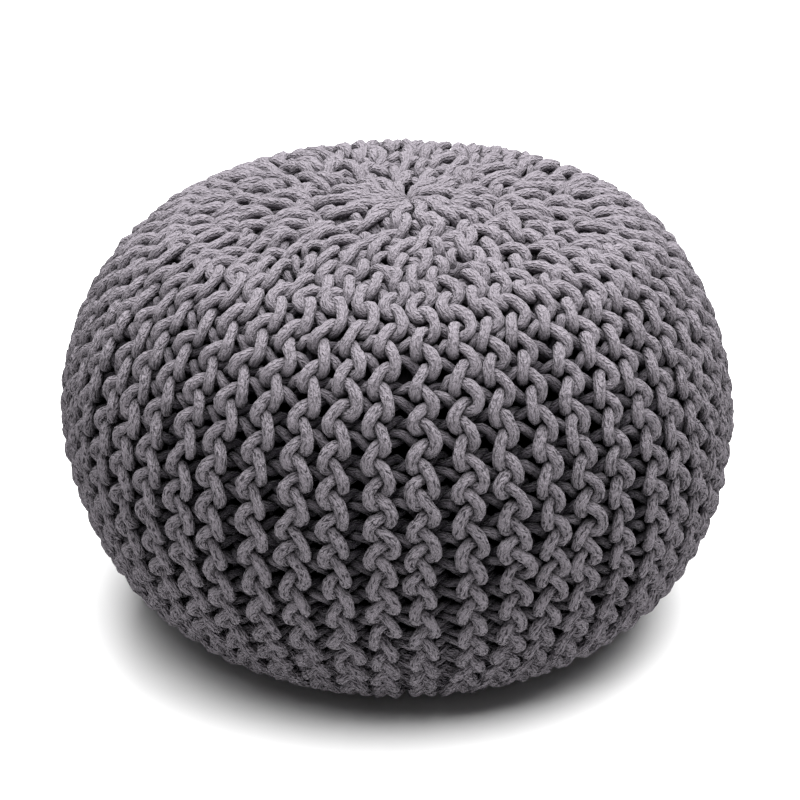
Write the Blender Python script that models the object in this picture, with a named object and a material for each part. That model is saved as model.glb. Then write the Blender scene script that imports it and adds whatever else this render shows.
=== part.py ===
"""A round floor pouf: a stuffed bag of garter-stitch knitting in thick cotton cord.

It is one filled solid. The knitted ridges run over it from the gathered crown to the
base, every second ridge is a short row that stops before the crown, and the pouf sits
on the flat that its own weight presses into it. Metres, +Z up, origin on the floor at
the middle of the pouf's width.
"""

import math

import bpy
import numpy as np

# Driving dimensions
WIDTH = 0.550            # over the outermost stitches
HEIGHT = 0.363           # floor to the highest stitches of the crown
WAIST_HEIGHT = 0.187     # height of the widest level
BASE_RADIUS = 0.134      # flat that rests on the floor
CROWN_BULGE = 4.44       # superellipse power across the upper half: how far the shoulder stays out
CROWN_FLATTEN = 1.61     # superellipse power up the upper half: how flat the crown lies
SKIRT_BULGE = 2.07       # superellipse power of the lower half

# The stuffing has slumped a little to one side: sideways shift at these heights
LEAN = (
    {"height": 0.000, "shift": 0.0036},
    {"height": 0.090, "shift": 0.0036},
    {"height": 0.187, "shift": 0.0000},
    {"height": 0.240, "shift": -0.0008},
    {"height": 0.290, "shift": 0.0007},
    {"height": 0.363, "shift": 0.0091},
)

# The knitting
RIDGES = 52              # ridges round the waist, every second one a short row
GROOVE_DEPTH = 0.0085    # between two neighbouring ridges
SHORT_ROW_END = 0.130    # distance from the crown, along the surface, where short rows stop
SHORT_ROW_FADE = 0.030   # length over which the last of a short ridge sinks away
GATHER_RADIUS = 0.014    # ring of drawn-in stitches round the middle of the crown
GATHER_SPREAD = 0.022    # how far the drawn-in hollow reaches outwards
GATHER_DEPTH = 0.009     # how deep the middle of the crown is drawn in

# Faceting
RINGS = 20               # levels from the base's edge to the gather
SIDES_PER_RIDGE = 4      # crest, flank, groove, flank
PROFILE_STEPS = 400      # fine steps from which the evenly spaced levels are read

CORD_COLOUR = (0.235, 0.205, 0.240, 1.0)
CORD_ROUGHNESS = 0.95


def signed_power(value, power):
    """value ** power that is also right for a cosine that rounds to just below zero."""
    return np.clip(value, 0.0, None) ** power


def profile():
    """Radius and height of evenly spaced levels, from the base's edge up to the gather.

    Each half is a quarter superellipse: the skirt from the flat's edge to the waist,
    the crown from the waist to the middle of the top.
    """
    angle = np.linspace(0.0, math.pi / 2, PROFILE_STEPS)
    waist = WIDTH / 2
    crown_radius = waist * signed_power(np.cos(angle), 2 / CROWN_BULGE)
    crown_height = WAIST_HEIGHT + (HEIGHT - WAIST_HEIGHT) * np.sin(angle) ** (2 / CROWN_FLATTEN)
    skirt_radius = BASE_RADIUS + (waist - BASE_RADIUS) * signed_power(np.cos(angle), 2 / SKIRT_BULGE)
    skirt_height = WAIST_HEIGHT * (1 - np.sin(angle) ** (2 / SKIRT_BULGE))
    radius = np.concatenate([skirt_radius[::-1], crown_radius[1:]])
    height = np.concatenate([skirt_height[::-1], crown_height[1:]])

    length = np.concatenate([[0.0], np.cumsum(np.hypot(np.diff(radius), np.diff(height)))])
    from_crown = length[-1] - length
    gather_start = np.interp(-GATHER_RADIUS, -radius[PROFILE_STEPS:], length[PROFILE_STEPS:])
    level = np.linspace(0.0, gather_start, RINGS)
    return (np.interp(level, length, radius), np.interp(level, length, height),
            np.interp(level, length, from_crown))


def smooth_step(value):
    """0 below 0, 1 above 1, and a soft S between."""
    part = np.clip(value, 0.0, 1.0)
    return part * part * (3 - 2 * part)


def groove(angle, from_crown):
    """Depth of the grooves between ridges; near the crown only every second ridge is left."""
    all_ridges = 0.5 - 0.5 * np.cos(RIDGES * angle)
    long_ridges = 0.5 - 0.5 * np.cos(RIDGES / 2 * angle)
    short_rows_left = smooth_step((from_crown - SHORT_ROW_END) / SHORT_ROW_FADE + 0.5)
    crowding = smooth_step(from_crown / SHORT_ROW_END)
    depth = GROOVE_DEPTH * (0.35 + 0.65 * crowding)
    return depth * (short_rows_left * all_ridges + (1 - short_rows_left) * long_ridges)


def lean(height):
    """Sideways shift of a level, by a cubic curve fitted to the rows of LEAN."""
    levels = [row["height"] for row in LEAN]
    shifts = [row["shift"] for row in LEAN]
    curve = np.polyfit(levels, shifts, 3)
    return np.polyval(curve, height)


def surface():
    """Every level's ring of points, as an array of levels by sides by three.

    A point is pushed in from the profile by the groove, along the profile's normal, and
    the lowest ring stays on the floor.
    """
    radius, height, from_crown = profile()
    sides = RIDGES * SIDES_PER_RIDGE
    angle = np.arange(sides) * 2 * math.pi / sides
    along_r, along_z = np.gradient(radius), np.gradient(height)
    step = np.hypot(along_r, along_z)
    out_r, out_z = along_z / step, -along_r / step

    inward = groove(angle[None, :], from_crown[:, None])
    gather = GATHER_DEPTH * (1 - smooth_step((radius - GATHER_RADIUS) / GATHER_SPREAD))
    ring_radius = radius[:, None] - inward * out_r[:, None]
    ring_height = height[:, None] - inward * out_z[:, None] - gather[:, None]
    ring_height[0] = 0.0
    return np.stack([ring_radius * np.cos(angle) + lean(ring_height),
                     ring_radius * np.sin(angle), ring_height], axis=-1)


def cord_material():
    material = bpy.data.materials.new("cotton_cord")
    material.use_nodes = True
    shader = material.node_tree.nodes["Principled BSDF"]
    shader.inputs["Base Color"].default_value = CORD_COLOUR
    shader.inputs["Roughness"].default_value = CORD_ROUGHNESS
    shader.inputs["Metallic"].default_value = 0.0
    return material


def build_pouf():
    """The rings joined by quads, closed by a flat below and by the drawn-in middle above."""
    rings = surface()
    levels, sides, _ = rings.shape
    base_centre = np.array([[rings[0, :, 0].mean(), 0.0, 0.0]])
    gather_centre = rings[-1].mean(axis=0)[None, :] - [[0.0, 0.0, GATHER_DEPTH / 3]]
    points = np.concatenate([rings.reshape(-1, 3), base_centre, gather_centre])
    base, gather = levels * sides, levels * sides + 1

    faces = []
    for level in range(levels - 1):
        for side in range(sides):
            here = level * sides + side
            beside = level * sides + (side + 1) % sides
            faces.append((here, beside, beside + sides, here + sides))
    top = (levels - 1) * sides
    for side in range(sides):
        beside = (side + 1) % sides
        faces.append((base, beside, side))
        faces.append((gather, top + side, top + beside))

    mesh = bpy.data.meshes.new("pouf")
    mesh.from_pydata(points.tolist(), [], faces)
    mesh.shade_smooth()
    mesh.materials.append(cord_material())
    pouf = bpy.data.objects.new("pouf", mesh)
    bpy.context.scene.collection.objects.link(pouf)


for leftover in list(bpy.data.objects):
    bpy.data.objects.remove(leftover)
build_pouf()
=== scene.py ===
"""Looks of a round floor pouf: braided cotton cord, knitted in ridges over a stuffed bag.

The cord is laid stitch by stitch in its rows and then settles: it pulls itself tight, keeps its
own thickness and rests on the bag, so that its loops find the shape of real ones. Metres, +Z up.
"""

import math

import bpy
import numpy as np
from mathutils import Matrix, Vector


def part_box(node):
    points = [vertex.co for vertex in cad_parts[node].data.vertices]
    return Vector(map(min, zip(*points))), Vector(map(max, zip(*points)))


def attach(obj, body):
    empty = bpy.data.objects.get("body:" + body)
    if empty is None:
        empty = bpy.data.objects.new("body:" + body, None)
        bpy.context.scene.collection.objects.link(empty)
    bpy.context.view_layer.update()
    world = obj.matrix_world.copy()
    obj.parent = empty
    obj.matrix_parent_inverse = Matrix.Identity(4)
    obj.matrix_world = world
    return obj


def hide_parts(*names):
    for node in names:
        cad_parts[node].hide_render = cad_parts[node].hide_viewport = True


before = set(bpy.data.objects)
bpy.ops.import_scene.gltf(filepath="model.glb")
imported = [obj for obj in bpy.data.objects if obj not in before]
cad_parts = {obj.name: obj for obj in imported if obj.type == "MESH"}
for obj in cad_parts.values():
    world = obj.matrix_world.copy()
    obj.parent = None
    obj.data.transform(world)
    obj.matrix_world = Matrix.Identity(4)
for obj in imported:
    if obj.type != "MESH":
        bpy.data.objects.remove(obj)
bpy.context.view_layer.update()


# The filled shape. Stuffing swells the knitted cover to a full crown, upright sides and a rounder
# skirt, flat only where it stands, and slumps a little to one side. Every piece follows it.

pouf_low, pouf_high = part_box("pouf")
RADIUS = (pouf_high[1] - pouf_low[1]) / 2    # at the waist, over the stitches
HEIGHT = pouf_high[2]
WAIST_HEIGHT = 0.515 * HEIGHT
BASE_RADIUS = 0.487 * RADIUS                 # flat that rests on the floor
CROWN_BULGE, CROWN_FLATTEN, SKIRT_BULGE = 4.44, 1.61, 2.07    # powers of the outline's curves
LEAN = (0.0036, 0.0440, -0.612, 1.466)       # sideways shift: its power series in the height


def outline(steps=1200, corner_rounds=60):
    """The pouf's outline: run from the middle of the crown, radius, height and outward normal.

    Two quarter superellipses, crown and skirt, then the flat base to its middle, read at even
    steps and rounded where they meet by averaging each point with its neighbours.
    """
    angle = np.linspace(0.0, math.pi / 2, steps)
    cosine, sine = np.clip(np.cos(angle), 0.0, None), np.sin(angle)
    crown_radius = RADIUS * cosine ** (2 / CROWN_BULGE)
    crown_height = WAIST_HEIGHT + (HEIGHT - WAIST_HEIGHT) * sine ** (2 / CROWN_FLATTEN)
    skirt_radius = BASE_RADIUS + (RADIUS - BASE_RADIUS) * cosine ** (2 / SKIRT_BULGE)
    skirt_height = WAIST_HEIGHT * (1 - sine ** (2 / SKIRT_BULGE))
    base_radius = np.linspace(BASE_RADIUS, 0, 100)[1:]
    radius = np.concatenate([crown_radius[::-1], skirt_radius[1:], base_radius])
    height = np.concatenate([crown_height[::-1], skirt_height[1:], np.zeros(len(base_radius))])

    def run_along():
        return np.concatenate([[0.0], np.cumsum(np.hypot(np.diff(radius), np.diff(height)))])

    run = run_along()
    even = np.linspace(0.0, run[-1], steps)
    radius, height = np.interp(even, run, radius), np.interp(even, run, height)
    for _ in range(corner_rounds):
        for curve in (radius, height):
            curve[1:-1] = curve[1:-1] / 2 + (curve[:-2] + curve[2:]) / 4
    run = run_along()
    along_r, along_z = np.gradient(radius, run), np.gradient(height, run)
    length = np.hypot(along_r, along_z)
    return run, radius, height, -along_z / length, along_r / length


OUTLINE = outline()
FULL_RUN = OUTLINE[0][-1]                    # over the outside, from crown to the base's middle


def on_outline(run, angle, out):
    """Points at a run down the outline, at an angle round it, raised by out along the normal."""
    radius, height, normal_r, normal_z = (np.interp(run, OUTLINE[0], row) for row in OUTLINE[1:])
    radius, height = np.maximum(radius + out * normal_r, 0.0), height + out * normal_z
    return np.stack(np.broadcast_arrays(radius * np.cos(angle), radius * np.sin(angle), height), -1)


def leaned(points):
    """The points with each level shifted sideways by LEAN's power series."""
    shifted = points.copy()
    shifted[..., 0] += np.polynomial.polynomial.polyval(points[..., 2], LEAN)
    return shifted


def mesh_piece(name, points, faces, material):
    """A new object at the origin from a points array and a faces array of four corners each."""
    mesh = bpy.data.meshes.new(name)
    mesh.vertices.add(len(points))
    mesh.vertices.foreach_set("co", points.astype(np.float32).ravel())
    mesh.loops.add(faces.size)
    mesh.loops.foreach_set("vertex_index", faces.astype(np.int32).ravel())
    mesh.polygons.add(len(faces))
    mesh.polygons.foreach_set("loop_start", np.arange(0, faces.size, 4, dtype=np.int32))
    mesh.polygons.foreach_set("use_smooth", np.ones(len(faces), bool))
    mesh.update()
    mesh.validate()
    mesh.materials.append(material)
    piece = bpy.data.objects.new(name, mesh)
    bpy.context.scene.collection.objects.link(piece)
    return piece


# The stuffed bag. A round bag of dark plain-woven cotton holds the filling under the knitting.
# Its colour is partly painted shade: nearly black at the sides, for the shade deep between the
# stitches, and dark grey in the gaps of the crown, where light reaches it.

BAG_DEPTH = 0.0235        # from the outermost stitches in to the bag
BAG_FLOOR = 0.004         # height of its flat underside over the floor
BAG_RINGS, BAG_SIDES = 90, 208
# painted shade: nearly black at the sides, dark grey at the crown where light reaches the gaps
BAG_COLOUR_AND_SHADE = {"sides": (0.001, 0.001, 0.0012, 1.0), "crown": (0.045, 0.040, 0.046, 1.0)}
BAG_THREAD = 0.0011       # one thread of its weave


def add(tree, kind, inputs=None, **settings):
    """A shader node: its kind, its settings, and each input's plain value or source socket."""
    node = tree.nodes.new("ShaderNode" + kind)
    for key, value in settings.items():
        setattr(node, key, value)
    for key, value in (inputs or {}).items():
        if isinstance(value, bpy.types.NodeSocket):
            tree.links.new(value, node.inputs[key])
        else:
            node.inputs[key].default_value = value
    return node


def calc(tree, operation, *values):
    """The result of a Math node on one to three values or sockets."""
    return add(tree, "Math", dict(enumerate(values)), operation=operation).outputs[0]


def new_material(name):
    """An empty material with its output node, and the node tree to fill."""
    material = bpy.data.materials.new(name)
    material.use_nodes = True
    tree = material.node_tree
    tree.nodes.clear()
    return material, tree, add(tree, "OutputMaterial")


def bag_cotton():
    """Dark cotton, plain weave: sine ridges of warp and weft as bump, the ridges painted a little
    lighter, as light catches them. The colour goes from nearly black at the sides to dark grey near
    the top of the crown: the cotton's own dark colour with painted shade, deepest at the sides."""
    material, tree, output = new_material("bag_cotton")
    place = add(tree, "SeparateXYZ", {0: add(tree, "TexCoord").outputs["Object"]})
    turn = calc(tree, "ARCTAN2", place.outputs["Y"], place.outputs["X"])
    weft = calc(tree, "SINE", calc(tree, "MULTIPLY", place.outputs["Z"], math.pi / BAG_THREAD))
    warp = calc(tree, "SINE", calc(tree, "MULTIPLY", turn, RADIUS * math.pi / BAG_THREAD))
    weave = calc(tree, "MULTIPLY", weft, warp)
    lift = calc(tree, "MULTIPLY_ADD", weave, 0.5, 0.5)
    near_top = add(tree, "MapRange", {0: place.outputs["Z"], 1: 0.8 * HEIGHT, 2: 0.9 * HEIGHT})
    # painted shade: the bag darkest at the sides and lighter near the top of the crown
    dye_and_shade = add(tree, "Mix", {0: near_top.outputs[0], 6: BAG_COLOUR_AND_SHADE["sides"], 7: BAG_COLOUR_AND_SHADE["crown"]},
              data_type="RGBA")
    # painted light: the weave's ridges are lighter than the dips between threads
    colour = add(tree, "HueSaturation", {"Color": dye_and_shade.outputs[2],
                                         "Value": calc(tree, "MULTIPLY_ADD", lift, 0.6, 1.0)})
    bump = add(tree, "Bump", {"Strength": 0.4, "Distance": BAG_THREAD / 3, "Height": lift})
    cloth = add(tree, "BsdfPrincipled", {"Base Color": colour.outputs[0], "Roughness": 0.95,
                                         "Specular IOR Level": 0.0, "Normal": bump.outputs[0]})
    tree.links.new(cloth.outputs[0], output.inputs[0])
    return material


def bag_points():
    """Rings of the outline, drawn in by the bag's depth, pushed up off the floor."""
    run = np.linspace(0.0, FULL_RUN, BAG_RINGS)[:, None]
    angle = np.arange(BAG_SIDES)[None, :] * 2 * math.pi / BAG_SIDES
    rings = on_outline(run, angle, -BAG_DEPTH)
    rings[..., 2] = np.maximum(rings[..., 2], BAG_FLOOR)
    return leaned(rings)


def ring_faces(rings, sides):
    """Four-cornered faces between neighbouring rings, row after row, facing out."""
    ring, side = np.meshgrid(np.arange(rings - 1), np.arange(sides), indexing="ij")
    beside = (side + 1) % sides
    corners = (ring * sides + side, (ring + 1) * sides + side, (ring + 1) * sides + beside,
               ring * sides + beside)
    return np.stack(corners, -1).reshape(-1, 4)


bag = mesh_piece("stuffed_bag", bag_points().reshape(-1, 3), ring_faces(BAG_RINGS, BAG_SIDES),
                 bag_cotton())
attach(bag, "root")
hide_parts("pouf")


# The knitted cover. One thick braided cord, worked in rows that run from the crown to the base:
# two rows make a ridge, and most ridges stop a few stitches short of the middle. What is left
# open there is drawn together by loops that all go down into the middle.

PANELS = 13               # like parts round the pouf
SHORT_BY = (0, 3, 1, 2)   # stitches that each of a panel's ridges leaves out at both its ends
RIDGES_PER_PANEL = len(SHORT_BY)
PANEL_TURN = 2 * math.pi / PANELS
HALF_RIDGE = PANEL_TURN / RIDGES_PER_PANEL / 2
CORD = 0.0085             # thickness of the cord where its strands press on each other
ROW_SHIFT = 0.33          # how much wider a ridge's left row is than half of it
LONG_START = 0.034        # run of the first stitch of a long row
SWING = 0.15              # how far the cord swings along its row within a stitch, in stitches
LAID_DEPTH = 1.5          # middle of a laid stitch under the outline, in cord thicknesses
DRAWN_IN = (0.003, 0.047)  # run of the inner and the outer end of the loops that close the middle
POINTS = 30               # points to a stitch while the cord settles
STITCH_PITCH = (          # length of a stitch along its row
    {"run": 0.000, "pitch": 0.0360},
    {"run": 0.100, "pitch": 0.0360},
    {"run": 0.150, "pitch": 0.0350},
    {"run": 0.220, "pitch": 0.0330},
    {"run": 0.302, "pitch": 0.0292},
    {"run": 0.358, "pitch": 0.0265},
    {"run": 0.440, "pitch": 0.0267},
    {"run": 0.550, "pitch": 0.0284},
    {"run": 0.633, "pitch": 0.0316},
    {"run": 0.773, "pitch": 0.0412},
)
THICK = {"front": 0.0082, "leg": 0.0066, "back": 0.0056}     # pressed: what strands keep apart
SHOWN = {"front": 0.0089, "leg": 0.0079, "back": 0.0056}     # as seen: soft, so a little fatter,
                                                             # and pressed about 1 mm together


def smooth_step(value):
    """0 below 0, 1 above 1, and a soft S between."""
    part = np.clip(value, 0.0, 1.0)
    return part * part * (3 - 2 * part)


def stitch_scale():
    """Stitches counted from the crown against run: the sum of run over the local pitch."""
    run = np.linspace(0.0, FULL_RUN, 3000)
    known_run = [row["run"] for row in STITCH_PITCH]
    pitch = np.interp(run, known_run, [row["pitch"] for row in STITCH_PITCH])
    per_run = 1 / pitch
    return run, np.concatenate([[0.0], np.cumsum((per_run[1:] + per_run[:-1]) / 2 * np.diff(run))])


SCALE_RUN, SCALE_COUNT = stitch_scale()
FIRST_COUNT = np.interp(LONG_START, SCALE_RUN, SCALE_COUNT)
LAST_COUNT = np.interp(FULL_RUN - LONG_START, SCALE_RUN, SCALE_COUNT)
LONG_STITCHES = round(float(LAST_COUNT - FIRST_COUNT))


def run_of_stitch(number):
    """Run down the outline of a place counted in stitches from a long row's start."""
    count = FIRST_COUNT + number * (LAST_COUNT - FIRST_COUNT) / LONG_STITCHES
    return np.interp(count, SCALE_COUNT, SCALE_RUN)


def valleys(number, ridge):
    """Angles of the valleys to the left and right of a ridge, counted in stitches from the crown.

    The ridges that have begun share the panel's angle. Each one's share is 0 before its start
    and grows to 1, by smooth steps, and the running sum of the shares gives the valleys.
    """
    inside = np.minimum(number, LONG_STITCHES - number)[..., None]
    share = smooth_step((inside - np.array(SHORT_BY) + 0.8) / 1.3)
    share[..., 0] = 1.0
    right = np.cumsum(share, -1) / share.sum(-1, keepdims=True) * PANEL_TURN
    left = right - share / share.sum(-1, keepdims=True) * PANEL_TURN
    return left[..., ridge], right[..., ridge]


def row_span(number, ridge, side):
    """Middle and half width of a row as angles: the left row is the wider one."""
    left, right = valleys(number, ridge)
    top = left + (right - left) * (1 + ROW_SHIFT) / 2
    low, high = (left, top) if side < 0 else (top, right)
    return (low + high) / 2, (high - low) / 2


def lay_row(ridge, side):
    """One row's loops on one side of a ridge, from its start stitch to its last and as laid.

    A stitch is a full turn t. Along the row the cord moves one stitch, swinging by sin 2t, so the
    loops are narrow at the neck. Across the row it swings by cos t, from the valley to the ridge,
    and in depth by cos 3t, so that each loop goes through the one beside it.
    """
    start = SHORT_BY[ridge]
    stitches = LONG_STITCHES - 2 * start
    turn = np.arange(stitches * POINTS) / POINTS * 2 * math.pi
    along = turn / (2 * math.pi) + SWING * np.sin(2 * turn)
    number = start + along if side < 0 else start + stitches - along
    run = run_of_stitch(number)
    radius = np.maximum(np.interp(run, OUTLINE[0], OUTLINE[1]), 0.02)
    middle, half_width = row_span(number, ridge, side)
    room = sum(row_span(number, ridge, way)[1] for way in (-1, 1))
    spare = 0.7 * CORD * np.clip(room * radius / (HALF_RIDGE * RADIUS), 0.2, 1.0)
    angle = middle - (half_width + spare / radius) * np.cos(turn)
    depth = CORD * (side * 0.8 * np.cos(3 * turn) - LAID_DEPTH)
    own = start + np.arange(stitches) + 0.5
    own = own if side < 0 else LONG_STITCHES - own
    return {
        "place": on_outline(run, angle, depth),
        "front": side * np.cos(turn),                       # 1 on the ridge, -1 at the back
        "side": np.full(len(turn), float(side)),
        "stitch": np.repeat(np.arange(stitches), POINTS),
        "home": np.stack([run_of_stitch(own), row_span(own, ridge, side)[0]], -1),
    }


def lay_drawn_in(at_base):
    """The loop of a panel that closes the middle of the crown or base.

    For a full turn t the cord goes out and dips under the knitting, and comes back below: its
    run follows cos t, its depth sin t less a share of 1 - cos t. It keeps to the long ridge.
    """
    turn = np.arange(3 * POINTS) / (3 * POINTS) * 2 * math.pi
    run = (DRAWN_IN[0] + DRAWN_IN[1]) / 2 - (DRAWN_IN[1] - DRAWN_IN[0]) / 2 * np.cos(turn)
    middle = PANEL_TURN * (1 + ROW_SHIFT) / 2
    run_down = FULL_RUN - run if at_base else run
    depth = CORD * (1.2 * np.sin(turn) - 0.9 * (1 - np.cos(turn)) - 0.8)
    return {
        "place": on_outline(run_down, middle + 0.1 * PANEL_TURN * np.sin(turn), depth),
        "front": np.sin(turn),
        "side": np.zeros(len(turn)),
        "stitch": np.zeros(len(turn), int),
        "home": np.array([[run_down.mean(), middle]]),
    }


def lay_panel():
    """The cord of one panel: each ridge is a loop of its left row down and its right row back,
    and two more loops draw its ends in."""
    rows = [(ridge, lay_row(ridge, side)) for ridge in range(RIDGES_PER_PANEL) for side in (-1, 1)]
    rows += [(RIDGES_PER_PANEL + at_base, lay_drawn_in(at_base)) for at_base in (0, 1)]
    cord = {key: np.concatenate([row[key] for _, row in rows])
            for key in ("place", "front", "side", "home")}
    cord["strand"] = np.concatenate([np.full(len(row["front"]), strand) for strand, row in rows])
    first = np.cumsum([0] + [len(row["home"]) for _, row in rows])
    cord["stitch"] = np.concatenate([row["stitch"] + first[i] for i, (_, row) in enumerate(rows)])
    return cord


def join_up(cord):
    """Adds each point's neighbours before and after it, closing every strand on itself."""
    size = np.bincount(cord["strand"])
    start = np.cumsum(size) - size
    own_start, own_size = start[cord["strand"]], size[cord["strand"]]
    number = np.arange(len(cord["strand"])) - own_start
    cord["number"], cord["size"] = number, own_size
    cord["after"] = own_start + (number + 1) % own_size
    cord["before"] = own_start + (number - 1) % own_size
    return cord


def by_part(front, sizes):
    """A size that goes smoothly from a stitch's back through its legs to its front."""
    return (sizes["leg"] + (sizes["front"] - sizes["leg"]) * np.clip(front, 0, 1)
            + (sizes["back"] - sizes["leg"]) * np.clip(-front, 0, 1))


def squeezed(points):
    """The share of its thickness that the cord keeps: less where the loops crowd in the middle."""
    return np.clip(np.hypot(points[:, 0], points[:, 1]) / 0.022, 0.55, 1.0)


FIELD_STEP = 0.004        # between neighbouring points of the grid below
FIELD_BASE = -0.06        # its lowest height


def outline_field():
    """A grid over radius and height that holds the distance out of the outline, and its slopes."""
    radius, height = np.arange(0.0, 0.36, FIELD_STEP), np.arange(FIELD_BASE, 0.44, FIELD_STEP)
    grid = np.stack(np.meshgrid(radius, height, indexing="ij"), -1).reshape(-1, 2)
    line = np.stack(OUTLINE[1:3], -1)
    nearest = ((grid[:, None, :] - line[None, ::2, :]) ** 2).sum(-1).argmin(1) * 2
    offset = grid - line[nearest]
    outward = offset[:, 0] * OUTLINE[3][nearest] + offset[:, 1] * OUTLINE[4][nearest]
    distance = np.hypot(offset[:, 0], offset[:, 1]) * np.where(outward >= 0, 1, -1)
    distance = distance.reshape(len(radius), len(height))
    return np.stack([distance, *np.gradient(distance, FIELD_STEP)], -1)


FIELD = outline_field()


def height_over_outline(points):
    """How far each point stands out of the outline, and the outward direction there."""
    across = np.hypot(points[:, 0], points[:, 1])
    column = np.clip(across / FIELD_STEP, 0, FIELD.shape[0] - 1.001)
    row = np.clip((points[:, 2] - FIELD_BASE) / FIELD_STEP, 0, FIELD.shape[1] - 1.001)
    i, j = column.astype(int), row.astype(int)
    u, v = (column - i)[:, None], (row - j)[:, None]
    value = ((FIELD[i, j] * (1 - u) + FIELD[i + 1, j] * u) * (1 - v)
             + (FIELD[i, j + 1] * (1 - u) + FIELD[i + 1, j + 1] * u) * v)
    slope = value[:, 1:] / (np.linalg.norm(value[:, 1:], axis=1, keepdims=True) + 1e-12)
    away = points[:, :2] / np.maximum(across, 1e-6)[:, None]
    return value[:, 0], np.concatenate([away * slope[:, :1], slope[:, 1:]], 1)


def near_pairs(points, reach):
    """Pairs of points closer than reach: each cell of a grid is matched with its neighbours."""
    cell = np.floor(points / reach).astype(np.int64)
    cell -= cell.min(axis=0) - 1
    size = cell.max(axis=0) + 2
    key = (cell[:, 0] * size[1] + cell[:, 1]) * size[2] + cell[:, 2]
    order = np.argsort(key, kind="stable")
    ranked = key[order]
    found = []
    steps = [(x, y, z) for x in (0, 1) for y in (-1, 0, 1) for z in (-1, 0, 1)
             if (x, y, z) >= (0, 0, 0)]
    for x, y, z in steps:
        shift = (x * size[1] + y) * size[2] + z
        lowest = np.searchsorted(ranked, key + shift, "left")
        count = np.searchsorted(ranked, key + shift, "right") - lowest
        first = np.repeat(np.arange(len(points)), count)
        within = np.arange(count.sum()) - np.repeat(np.cumsum(count) - count, count)
        second = order[np.repeat(lowest, count) + within]
        close = ((points[first] - points[second]) ** 2).sum(1) < reach * reach
        if shift == 0:
            close &= first < second
        found.append(np.stack([first[close], second[close]]))
    return np.concatenate(found, 1)


def turned(points, angle):
    """The points turned about the pouf's axis."""
    cosine, sine = math.cos(angle), math.sin(angle)
    return points @ np.array([[cosine, sine, 0.0], [-sine, cosine, 0.0], [0.0, 0.0, 1.0]])


def touching(cord, reach, panel):
    """Pairs of cord points that may press on each other, and whether the second is next door's.

    Where one panel stands for all, it is set beside its own copy, turned by a panel's width.
    Points that follow each other closely on a strand don't count.
    """
    place, count = cord["place"], len(cord["place"])
    points = np.concatenate([place, turned(place, panel)]) if panel else place
    first, second = near_pairs(points, reach)
    use = (first < count) | (second < count)
    first, second = first[use], second[use]
    first, second = np.where(first < count, first, second), np.where(first < count, second, first)
    next_door = second >= count
    second = second % count
    apart = np.abs(cord["number"][first] - cord["number"][second])
    apart = np.minimum(apart, cord["size"][first] - apart)
    step = np.linalg.norm(place[cord["after"]] - place, axis=1).mean()
    same = (cord["strand"][first] == cord["strand"][second]) & ~next_door
    use = ~(same & (apart <= math.ceil(1.45 * CORD / step)))
    return first[use], second[use], next_door[use]


def settle(cord, steps, pull, stiffness, lengths=None, swell_from=1.0, panel=0.0):
    """Lets the cord find its place, moving every point a little in each step.

    The cord pulls itself short, or towards its own lengths where they are given, and resists
    bending. The fronts of the left rows sag. Strands that overlap push each other apart, more and
    more of their thickness counting at first. The bag and the floor hold the cord up, the tight
    cover holds it down, and each stitch as a whole is drawn back towards its home.
    """
    place, before, after = cord["place"], cord["before"], cord["after"]
    half = by_part(cord["front"], THICK) * squeezed(place) ** 3 / 2
    floor = by_part(cord["front"], SHOWN) / 2
    pulls = (pull * (1 + 0.4 * cord["side"]))[:, None]
    sag = 0.002 * CORD * np.clip(cord["front"], 0, 1) * (cord["side"] < 0)
    home = on_outline(cord["home"][:, 0], cord["home"][:, 1], -LAID_DEPTH * CORD)
    per_stitch = np.bincount(cord["stitch"])[:, None]
    for step in range(steps):
        swell = min(1.0, swell_from + (1 - swell_from) * step / 250)
        if step % 10 == 0:
            cord["place"] = place
            first, second, next_door = touching(cord, 2 * swell * half.max() + 0.35 * CORD, panel)
        bend = place[before] + place[after] - 2 * place
        move = pulls * bend - stiffness * (bend[before] + bend[after] - 2 * bend)
        if lengths is not None:
            link = place[after] - place
            now = np.linalg.norm(link, axis=1)
            tug = link * ((now - lengths) / now / 4)[:, None]
            move += tug - tug[before]
        out, normal = height_over_outline(place)
        round_about = np.stack([-place[:, 1], place[:, 0], 0 * place[:, 0]], -1)
        round_about /= np.linalg.norm(round_about, axis=1, keepdims=True) + 1e-9
        place = place + move - np.cross(normal, round_about) * sag[:, None]

        other = place[second]
        if panel:
            other = np.where(next_door[:, None], turned(other, panel), other)
        gap = place[first] - other
        distance = np.sqrt((gap * gap).sum(1)) + 1e-12
        wanted = swell * (half[first] + half[second])
        hit = distance < wanted
        a, b, door = first[hit], second[hit], next_door[hit]
        push = gap[hit] * ((wanted[hit] - distance[hit]) / distance[hit] / 2)[:, None]
        back = -push
        if panel:
            back = np.where(door[:, None], turned(back, -panel), back)
        count = len(place)
        shove = np.stack([np.bincount(a, push[:, k], count) + np.bincount(b, back[:, k], count)
                          for k in range(3)], -1)
        hits = np.bincount(a, minlength=count) + np.bincount(b, minlength=count)
        place = place + shove * (1.6 / np.maximum(hits, 1.6))[:, None]

        out, normal = height_over_outline(place)
        place = place - normal * np.minimum(out + 2.6 * CORD - half, 0)[:, None]
        place = place - 0.3 * normal * np.maximum(out + half, 0)[:, None]
        place[:, 2] = np.maximum(place[:, 2], floor)
        middle = np.stack([np.bincount(cord["stitch"], place[:, k]) for k in range(3)], -1)
        middle /= per_stitch
        _, normal = height_over_outline(middle)
        drift = home - middle
        drift -= normal * (drift * normal).sum(1, keepdims=True)
        place = place + 0.02 * drift[cord["stitch"]]
    cord["place"] = place
    return cord


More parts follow.
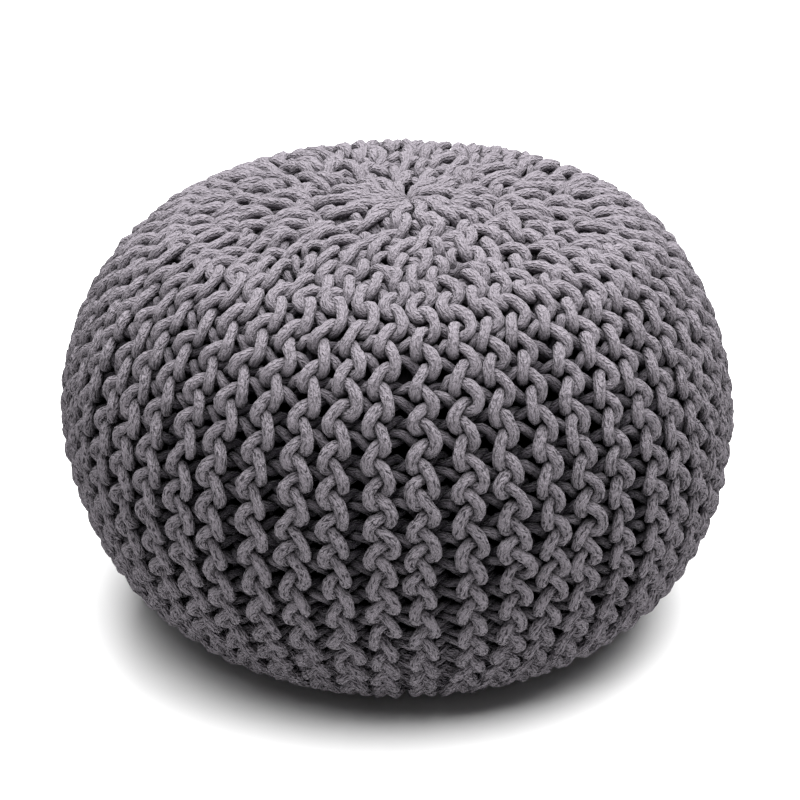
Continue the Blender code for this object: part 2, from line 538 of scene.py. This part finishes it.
def eased_lengths(cord, front=1.04, elsewhere=1.08):
    """The length of each link once the cord has eased: a share more at the fronts and elsewhere.

    Towards the middle of crown and base the fronts ease less, as they have less room, and within
    90 mm of the axis the rest goes over to pulling tight, to 0.85 of its length at 30 mm.
    """
    across = np.hypot(cord["place"][:, 0], cord["place"][:, 1])
    front = 1 + (front - 1) * np.clip(across / RADIUS, 0.2, 1.0) ** 1.5
    elsewhere = 0.85 + (elsewhere - 0.85) * smooth_step((across - 0.03) / 0.06)
    link = np.linalg.norm(cord["place"][cord["after"]] - cord["place"], axis=1)
    for _ in range(6):
        link = link / 2 + (link[cord["after"]] + link[cord["before"]]) / 4
    return link * (elsewhere + (front - elsewhere) * np.clip(cord["front"], 0, 1))


def all_round(cord):
    """The whole cover: the panel's cord, once for each panel, turned into its place."""
    whole = {key: np.tile(cord[key], PANELS) for key in ("front", "side")}
    whole["place"] = np.concatenate([turned(cord["place"], k * PANEL_TURN) for k in range(PANELS)])
    whole["home"] = np.concatenate([cord["home"] + (0.0, k * PANEL_TURN) for k in range(PANELS)])
    for key, step in (("strand", STRANDS_PER_PANEL), ("stitch", len(cord["home"]))):
        whole[key] = np.concatenate([cord[key] + k * step for k in range(PANELS)])
    return join_up(whole)


def ripple(home, waves_round, waves_down, seed, count=12):
    """A smooth random number, about 1 in size, for each place: a sum of waves over run and angle."""
    draw = np.random.default_rng(seed)
    round_it = draw.integers(-waves_round, waves_round + 1, count)[:, None]
    down = draw.uniform(-waves_down, waves_down, count)[:, None]
    phase = draw.uniform(0, 2 * math.pi, count)[:, None]
    angle = 2 * math.pi * down * home[:, 0] / FULL_RUN + round_it * home[:, 1] + phase
    return np.sin(angle).sum(0) * math.sqrt(2 / count)


def knit_unevenly(cord, lengths):
    """Gives each stitch its own place and its own length of cord, as hands do."""
    draw = np.random.default_rng(11)
    home = cord["home"]
    down = 0.0024 * ripple(home, 9, 4, seed=1) + 0.0020 * draw.standard_normal(len(home))
    aside = 0.0020 * ripple(home, 26, 3, seed=2) + 0.0014 * draw.standard_normal(len(home))
    radius = np.maximum(np.interp(home[:, 0], OUTLINE[0], OUTLINE[1]), 0.03)
    cord["home"] = home + np.stack([down, aside / radius], -1)
    slack = 1 + 0.03 * ripple(home, 9, 4, seed=3) + 0.09 * draw.standard_normal(len(home))
    return cord, np.tile(lengths, PANELS) * np.clip(slack, 0.82, 1.22)[cord["stitch"]]


panel_cord = join_up(lay_panel())
STRANDS_PER_PANEL = panel_cord["strand"].max() + 1
panel_cord = settle(panel_cord, 400, 0.05, 0.01, swell_from=0.5, panel=PANEL_TURN)
link_lengths = eased_lengths(panel_cord)
panel_cord = settle(panel_cord, 400, 0.01, 0.05, lengths=link_lengths, panel=PANEL_TURN)
cover_cord, link_lengths = knit_unevenly(all_round(panel_cord), link_lengths)
cover_cord = settle(cover_cord, 120, 0.01, 0.05, lengths=link_lengths)


# The cord's surface. A round braid as thick as the cord is at each place, carried along the path
# without twisting, with a map that runs in metres along the cord and round it.

RINGS = 20                # rings of points to a stitch
CORD_SIDES = 10
LUMP_SIZE = 0.10          # how uneven its thickness is
PLAIT = 0.0048            # length of one plait along the cord
PLAIT_COLUMNS = 10        # columns of plaits round the cord, leaning left and right in turn
PLAIT_SLOPE = 0.8         # how far a plait leans across its column, in plaits
CORD_COLOUR = (0.198, 0.180, 0.202, 1.0)
DEEP_COLOUR = (0.006, 0.004, 0.008, 1.0)      # where no light reaches
OWN_RANGE = 0.08          # how much single plaits differ in tone
HOLE_LONG, HOLES_ROUND = 0.0042, 12    # length of the open gaps, and how many fit round it
GAP_DARK, HOLE_DARK = 0.92, 0.10       # painted shade: tone left between plaits, and where they stand open
DARK_FROM, DARK_TO = -1.4, -0.2        # painted shade: from black to full colour with the depth under the outline, in cord thicknesses
SOFT_FROM, SOFT_TO, SOFT = 0.22, 0.34, 0.4    # heights where the bump and the painted shade of the open gaps fade, and what is left


def evenly(cord, strand):
    """Points along one strand, evenly spaced but closer together on the fronts, by a smooth curve
    through the settled points, with how far to the front each lies and its length so far."""
    own = np.flatnonzero(cord["strand"] == strand)
    place, front = cord["place"][own], cord["front"][own]
    link = np.linalg.norm(np.roll(place, -1, 0) - place, axis=1)
    weight = np.concatenate([[0.0], np.cumsum(link * (1.25 + 0.5 * front))])
    count = len(own) // POINTS * RINGS
    at = np.interp(np.arange(count) / count * weight[-1], weight, np.arange(len(own) + 1))
    whole, part = at.astype(int), (at % 1)[:, None]
    p0, p1, p2, p3 = (place[(whole + k) % len(own)] for k in (-1, 0, 1, 2))
    path = p1 + part / 2 * (p2 - p0 + part * (2 * p0 - 5 * p1 + 4 * p2 - p3
                                              + part * (3 * (p1 - p2) + p3 - p0)))
    front = front[whole % len(own)] * (1 - part[:, 0]) + front[(whole + 1) % len(own)] * part[:, 0]
    return path, front


def unit(vectors):
    """The vectors at length 1."""
    return vectors / (np.linalg.norm(vectors, axis=-1, keepdims=True) + 1e-12)


def steady_frame(path):
    """Two directions across a closed path at each point that don't twist as they go along it.

    A first guess is square to the path and the outward direction. The twist between neighbours is
    the angle left after turning one onto the other's path direction, and the running sum of those
    angles is taken out again, less the share that closes the loop.
    """
    ahead = unit(np.roll(path, -1, 0) - np.roll(path, 1, 0))
    side = unit(np.cross(ahead, path - np.array([0.0, 0.0, 0.45 * HEIGHT])))
    next_ahead, next_side = np.roll(ahead, -1, 0), np.roll(side, -1, 0)
    lean_over = (side * next_ahead).sum(1) / (1 + (ahead * next_ahead).sum(1))
    carried = side - (ahead + next_ahead) * lean_over[:, None]
    twist = np.arctan2((np.cross(carried, next_side) * next_ahead).sum(1),
                       (carried * next_side).sum(1))
    total = np.concatenate([[0.0], np.cumsum(twist)])
    closing = (total[-1] + math.pi) % (2 * math.pi) - math.pi
    angle = -total[:-1] + closing * np.arange(len(path)) / len(path)
    cross = np.cross(ahead, side)
    first = side * np.cos(angle)[:, None] + cross * np.sin(angle)[:, None]
    return first, np.cross(ahead, first)


def lumps(count, seed):
    """Soft lumps of the cord: random numbers about 1 for each ring and side, each averaged with
    its neighbours."""
    rough = np.random.default_rng(seed).standard_normal((count, CORD_SIDES))
    soft = rough + 0.5 * (np.roll(rough, 1, 0) + np.roll(rough, -1, 0)
                          + np.roll(rough, 1, 1) + np.roll(rough, -1, 1))
    return 1 + LUMP_SIZE * soft / math.sqrt(2)


def strand_surface(path, front, seed):
    """Points, faces and map of one closed strand: a ring round each point of its path."""
    first, second = steady_frame(path)
    angle = np.arange(CORD_SIDES) * 2 * math.pi / CORD_SIDES
    half = (by_part(front, SHOWN) * squeezed(path) / 2)[:, None] * lumps(len(path), seed)
    half = half[:, :, None]
    rings = path[:, None, :] + half * (first[:, None, :] * np.cos(angle)[None, :, None]
                                       + second[:, None, :] * np.sin(angle)[None, :, None])
    rings[..., 2] = np.maximum(rings[..., 2], 0.0)
    count = len(path)
    ring, side = np.meshgrid(np.arange(count), np.arange(CORD_SIDES), indexing="ij")
    after, beside = (ring + 1) % count, (side + 1) % CORD_SIDES
    faces = np.stack([ring * CORD_SIDES + side, after * CORD_SIDES + side,
                      after * CORD_SIDES + beside, ring * CORD_SIDES + beside], -1).reshape(-1, 4)
    link = np.linalg.norm(np.roll(path, -1, 0) - path, axis=1)
    length = np.concatenate([[0.0], np.cumsum(link)])
    length *= round(length[-1] / PLAIT) * PLAIT / length[-1]
    along = np.stack([length[ring], length[ring + 1], length[ring + 1], length[ring]], -1)
    round_it = np.stack([side, side, side + 1, side + 1], -1) / CORD_SIDES
    cord_map = np.stack([along, round_it], -1).reshape(-1, 4, 2)
    return rings.reshape(-1, 3), faces[:, ::-1], cord_map[:, ::-1]


def braided_cord():
    """Mauve-grey braided cotton: slanting plaits in columns that lean left and right in turn.

    A plait's hump is the sine of the place within it, its crest the sine across its column. The
    tone is a product of the plait's own tone, fibre streaks, mottling, painted shade between the
    plaits and painted shade in the open gaps, with lint added, and it falls to nearly black with
    the depth in "out", painted shade of the deep knitting. Fuzz roughens the bump, and both the
    bump and the painted shade of the open gaps fade towards the top.
    """
    material, tree, output = new_material("braided_cord")
    place = add(tree, "TexCoord").outputs["Object"]
    wander = add(tree, "TexNoise", {"Vector": place, "Scale": 160.0, "Detail": 1.0})
    off = add(tree, "SeparateXYZ", {0: wander.outputs["Color"]})
    cord_map = add(tree, "SeparateXYZ", {0: add(tree, "UVMap", uv_map="cord").outputs[0]})
    along = calc(tree, "MULTIPLY_ADD", off.outputs["X"], 0.6 * PLAIT, cord_map.outputs["X"])
    round_it = calc(tree, "MULTIPLY_ADD", off.outputs["Y"], 0.9 / PLAIT_COLUMNS,
                    cord_map.outputs["Y"])
    columns = calc(tree, "MULTIPLY", round_it, PLAIT_COLUMNS)
    column, across = calc(tree, "FLOOR", columns), calc(tree, "FRACT", columns)
    lean_way = calc(tree, "MULTIPLY_ADD", calc(tree, "MODULO", column, 2.0), 2.0, -1.0)
    slant = calc(tree, "MULTIPLY", calc(tree, "MULTIPLY", lean_way, PLAIT_SLOPE), across)
    plaits = calc(tree, "ADD", calc(tree, "DIVIDE", along, PLAIT), slant)
    plait, within = calc(tree, "FLOOR", plaits), calc(tree, "FRACT", plaits)
    hump = calc(tree, "SINE", calc(tree, "MULTIPLY", within, math.pi))
    crest = calc(tree, "SINE", calc(tree, "MULTIPLY", across, math.pi))
    lift = calc(tree, "MULTIPLY", calc(tree, "POWER", hump, 0.7), calc(tree, "POWER", crest, 0.35))

    own_map = add(tree, "CombineXYZ", {0: plait, 1: column})
    own = add(tree, "TexWhiteNoise", {"Vector": own_map.outputs[0]}, noise_dimensions="3D")
    streak_map = add(tree, "CombineXYZ", {0: calc(tree, "MULTIPLY", within, 2.2),
                                          1: calc(tree, "MULTIPLY", column, 7.3),
                                          2: calc(tree, "MULTIPLY", along, 300.0)})
    streaks = add(tree, "TexNoise", {"Vector": streak_map.outputs[0], "Scale": 1.5, "Detail": 3.0})
    hole_map = add(tree, "CombineXYZ", {0: calc(tree, "DIVIDE", along, HOLE_LONG),
                                        1: calc(tree, "MULTIPLY", round_it, HOLES_ROUND)})
    openness = add(tree, "TexNoise", {"Vector": hole_map.outputs[0], "Scale": 1.0, "Detail": 2.0})
    open_here = add(tree, "MapRange", {0: openness.outputs[0], 1: 0.51, 2: 0.62, 3: 0.0, 4: 1.0})
    between = add(tree, "MapRange", {0: lift, 1: 0.50, 2: 0.90, 3: 1.0, 4: 0.0})
    height = add(tree, "SeparateXYZ", {0: place}).outputs["Z"]
    # the bump and the painted shade of the open gaps fade towards the top
    top_fade = add(tree, "MapRange", {0: height, 1: SOFT_FROM, 2: SOFT_TO, 3: 1.0, 4: SOFT}).outputs[0]
    # painted shade: the colour darkens where the plaits stand open
    hole = calc(tree, "MULTIPLY", open_here.outputs[0], between.outputs[0])
    hole = calc(tree, "MULTIPLY", hole, top_fade)
    hole_tone = calc(tree, "MULTIPLY_ADD", hole, HOLE_DARK - 1, 1.0)
    lint = add(tree, "TexNoise", {"Vector": place, "Scale": 700.0, "Detail": 1.0})
    lint = add(tree, "MapRange", {0: lint.outputs[0], 1: 0.70, 2: 0.78, 3: 0.0, 4: 0.18})
    wide = add(tree, "TexNoise", {"Vector": place, "Scale": 14.0, "Detail": 2.0})
    mottle = add(tree, "TexNoise", {"Vector": place, "Scale": 230.0, "Detail": 1.0})
    # painted shade: the colour darkens between the plaits
    gap = add(tree, "MapRange", {0: lift, 1: 0.25, 2: 0.75, 3: GAP_DARK, 4: 1.0})
    tone = calc(tree, "MULTIPLY_ADD", own.outputs["Value"], OWN_RANGE, 1 - OWN_RANGE)
    tone = calc(tree, "MULTIPLY", tone, calc(tree, "MULTIPLY_ADD", streaks.outputs[0], 0.06, 0.97))
    tone = calc(tree, "MULTIPLY", tone, calc(tree, "MULTIPLY_ADD", wide.outputs[0], 0.3, 0.85))
    tone = calc(tree, "MULTIPLY", calc(tree, "MULTIPLY", tone, gap.outputs[0]), hole_tone)
    tone = calc(tree, "MULTIPLY", tone, calc(tree, "MULTIPLY_ADD", mottle.outputs[0], 0.25, 0.875))
    tone = calc(tree, "ADD", tone, lint.outputs[0])
    # painted shade: the colour falls to nearly black the deeper the cord lies under the outline
    out = add(tree, "Attribute", attribute_name="out").outputs["Fac"]
    depth = add(tree, "MapRange", {0: out, 1: DARK_FROM * CORD, 2: DARK_TO * CORD, 3: 0.01, 4: 1.0},
                interpolation_type="SMOOTHSTEP")
    tone = calc(tree, "MULTIPLY", tone, depth.outputs[0])
    colour = add(tree, "Mix", {0: tone, 6: DEEP_COLOUR, 7: CORD_COLOUR}, data_type="RGBA")
    knob = calc(tree, "POWER", calc(tree, "MULTIPLY", hump, crest), 1.5)
    grain = calc(tree, "MULTIPLY_ADD", streaks.outputs[0], 0.2, knob)
    grain = calc(tree, "MULTIPLY_ADD", hole, -0.8, grain)
    fuzz = add(tree, "TexNoise", {"Vector": place, "Scale": 520.0, "Detail": 2.0, "Roughness": 0.7})
    grain = calc(tree, "MULTIPLY_ADD", fuzz.outputs[0], 2.0, grain)
    grain = calc(tree, "MULTIPLY", grain, top_fade)
    bump = add(tree, "Bump", {"Strength": 1.0, "Distance": 0.0025, "Height": grain})
    cotton = add(tree, "BsdfPrincipled", {
        "Base Color": colour.outputs[2], "Roughness": 0.92, "Specular IOR Level": 0.10,
        "Sheen Weight": 0.05, "Sheen Roughness": 0.5, "Normal": bump.outputs[0]})
    tree.links.new(cotton.outputs[0], output.inputs[0])
    return material


def cord_piece(name, strands, material):
    """One piece of the cover: its strands' surfaces, joined, with their map and their depth.

    The depth, "out", is the height over the outline, counted for less near the axis and low down.
    The cord's colour is painted darker with it, as shade, the deeper the cord lies.
    """
    parts = [strand_surface(*evenly(cover_cord, strand), seed=100 + strand) for strand in strands]
    first = np.cumsum([0] + [len(points) for points, _, _ in parts])
    points = np.concatenate([points for points, _, _ in parts])
    faces = np.concatenate([faces + first[i] for i, (_, faces, _) in enumerate(parts)])
    piece = mesh_piece(name, leaned(points), faces, material)
    out = piece.data.attributes.new("out", "FLOAT", "POINT")
    # painted shade: the depth that darkens the cord, counted for less near the axis and low down
    valley = np.clip(np.hypot(points[:, 0], points[:, 1]) / RADIUS, 0.35, 1.0)
    valley *= 0.35 + 0.65 * smooth_step(points[:, 2] / (0.5 * HEIGHT))
    out.data.foreach_set("value", (valley * height_over_outline(points)[0]).astype(np.float32))
    cord_map = piece.data.uv_layers.new(name="cord")
    corners = np.concatenate([corners for _, _, corners in parts])
    cord_map.data.foreach_set("uv", corners.astype(np.float32).ravel())
    return piece


cord_material = braided_cord()
for panel_number in range(PANELS):
    own_strands = range(panel_number * STRANDS_PER_PANEL, (panel_number + 1) * STRANDS_PER_PANEL)
    knit = cord_piece(f"knit_panel_{panel_number + 1:02d}", own_strands, cord_material)
    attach(knit, "root")
    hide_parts("pouf")


# The floor and the light. A white studio floor under one large soft box, overhead and a little to
# the right, with weak even light from all round. The camera sees a plain white backdrop.

def floor_paint():
    """Matt white paint with a faint unevenness."""
    material, tree, output = new_material("floor_paint")
    place = add(tree, "TexCoord").outputs["Object"]
    cloudy = add(tree, "TexNoise", {"Vector": place, "Scale": 3.0, "Detail": 3.0})
    colour = add(tree, "Mix", {0: cloudy.outputs[0], 6: (0.79, 0.79, 0.79, 1.0),
                               7: (0.81, 0.81, 0.81, 1.0)}, data_type="RGBA")
    paint = add(tree, "BsdfPrincipled", {"Base Color": colour.outputs[2], "Roughness": 0.9,
                                         "Specular IOR Level": 0.1})
    tree.links.new(paint.outputs[0], output.inputs[0])
    return material


floor_half = 3.0
floor_corners = np.array([[-1, -1, 0], [1, -1, 0], [1, 1, 0], [-1, 1, 0]]) * floor_half
floor = mesh_piece("floor", floor_corners, np.array([[0, 1, 2, 3]]), floor_paint())


def soft_box(name, place, size, power):
    """A square area light that points at the middle of the pouf."""
    light = bpy.data.lights.new(name, "AREA")
    light.size, light.energy = size, power
    lamp = bpy.data.objects.new(name, light)
    lamp.location = place
    x, y, z = (np.array([0.0, 0.0, HEIGHT / 2]) - place) / np.linalg.norm(place)
    lamp.rotation_euler = (math.acos(-z), 0.0, math.atan2(x, -y))
    bpy.context.scene.collection.objects.link(lamp)


soft_box("overhead_box", np.array([1.35, 0.0, 4.6]), 6.3, 1210.0)
world = bpy.data.worlds.new("studio")
world.use_nodes = True
world_tree = world.node_tree
fill = world_tree.nodes["Background"]
fill.inputs["Color"].default_value = (1.0, 1.0, 1.0, 1.0)
fill.inputs["Strength"].default_value = 0.14
backdrop = add(world_tree, "Background", {"Color": (1.0, 1.0, 1.0, 1.0), "Strength": 1.0})
seen = add(world_tree, "MixShader", {0: add(world_tree, "LightPath").outputs["Is Camera Ray"],
                                     1: fill.outputs[0], 2: backdrop.outputs[0]})
world_tree.links.new(seen.outputs[0], world_tree.nodes["World Output"].inputs[0])
bpy.context.scene.world = world
bpy.context.scene.view_settings.view_transform = "Standard"


# The camera. It stands seven pouf radii away and looks down on the pouf a little.

LOOK_DOWN = math.radians(25.27)
look_distance = 7 * RADIUS
camera_data = bpy.data.cameras.new("camera")
camera_data.sensor_width = 36.0
camera_data.lens = 104.85
camera = bpy.data.objects.new("camera", camera_data)
camera.location = (0.0023, -look_distance * math.cos(LOOK_DOWN),
                   HEIGHT / 2 + look_distance * math.sin(LOOK_DOWN))
camera.rotation_euler = (math.pi / 2 - LOOK_DOWN, 0.0, 0.0)
bpy.context.scene.collection.objects.link(camera)
bpy.context.scene.camera = camera
